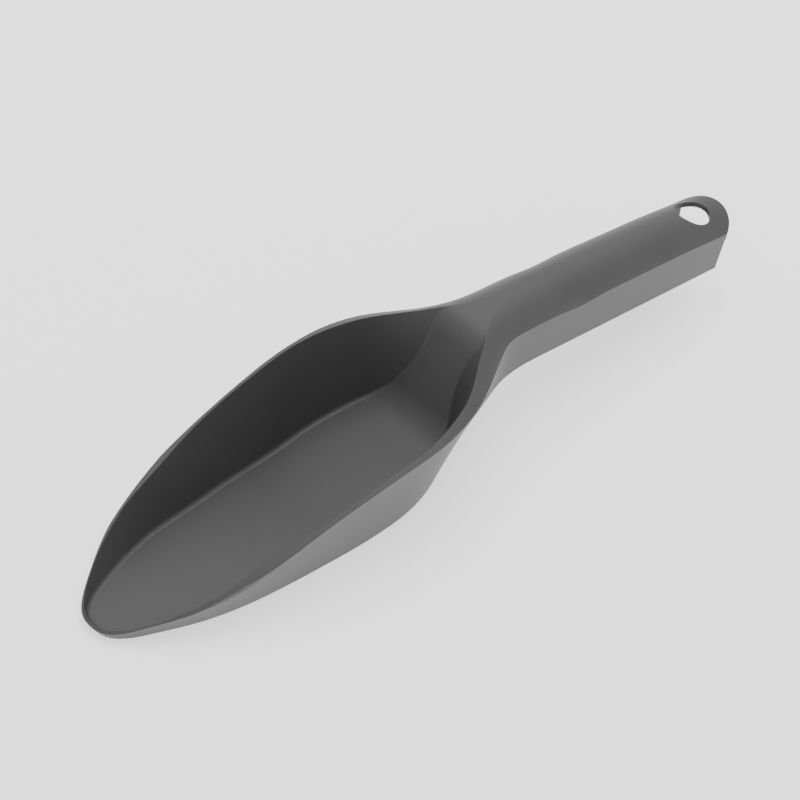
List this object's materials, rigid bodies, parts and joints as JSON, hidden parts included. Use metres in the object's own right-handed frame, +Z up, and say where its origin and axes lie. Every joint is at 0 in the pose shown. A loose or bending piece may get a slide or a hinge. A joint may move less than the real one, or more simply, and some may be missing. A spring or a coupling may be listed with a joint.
{
  "type": "hand trowel",
  "caption": "Plastic hand trowel moulded in one piece: deep pointed scoop with a raised lip, arched open handle and a hanging hole.",
  "frame": {"origin": "Under the middle of the tool's length, on the flat underside of the blade, on the plane of symmetry.", "axes": "+X from the tip of the blade to the end of the handle, +Y across the tool to the left as seen from the handle, +Z up out of the bowl, along the axis of the hanging hole."},
  "size_m": [0.3258, 0.0756, 0.0522],
  "materials": {
    "moulded_plastic": "satin"
  },
  "bodies": {
    "root": {"trowel": "moulded_plastic"}
  },
  "joints": []
}
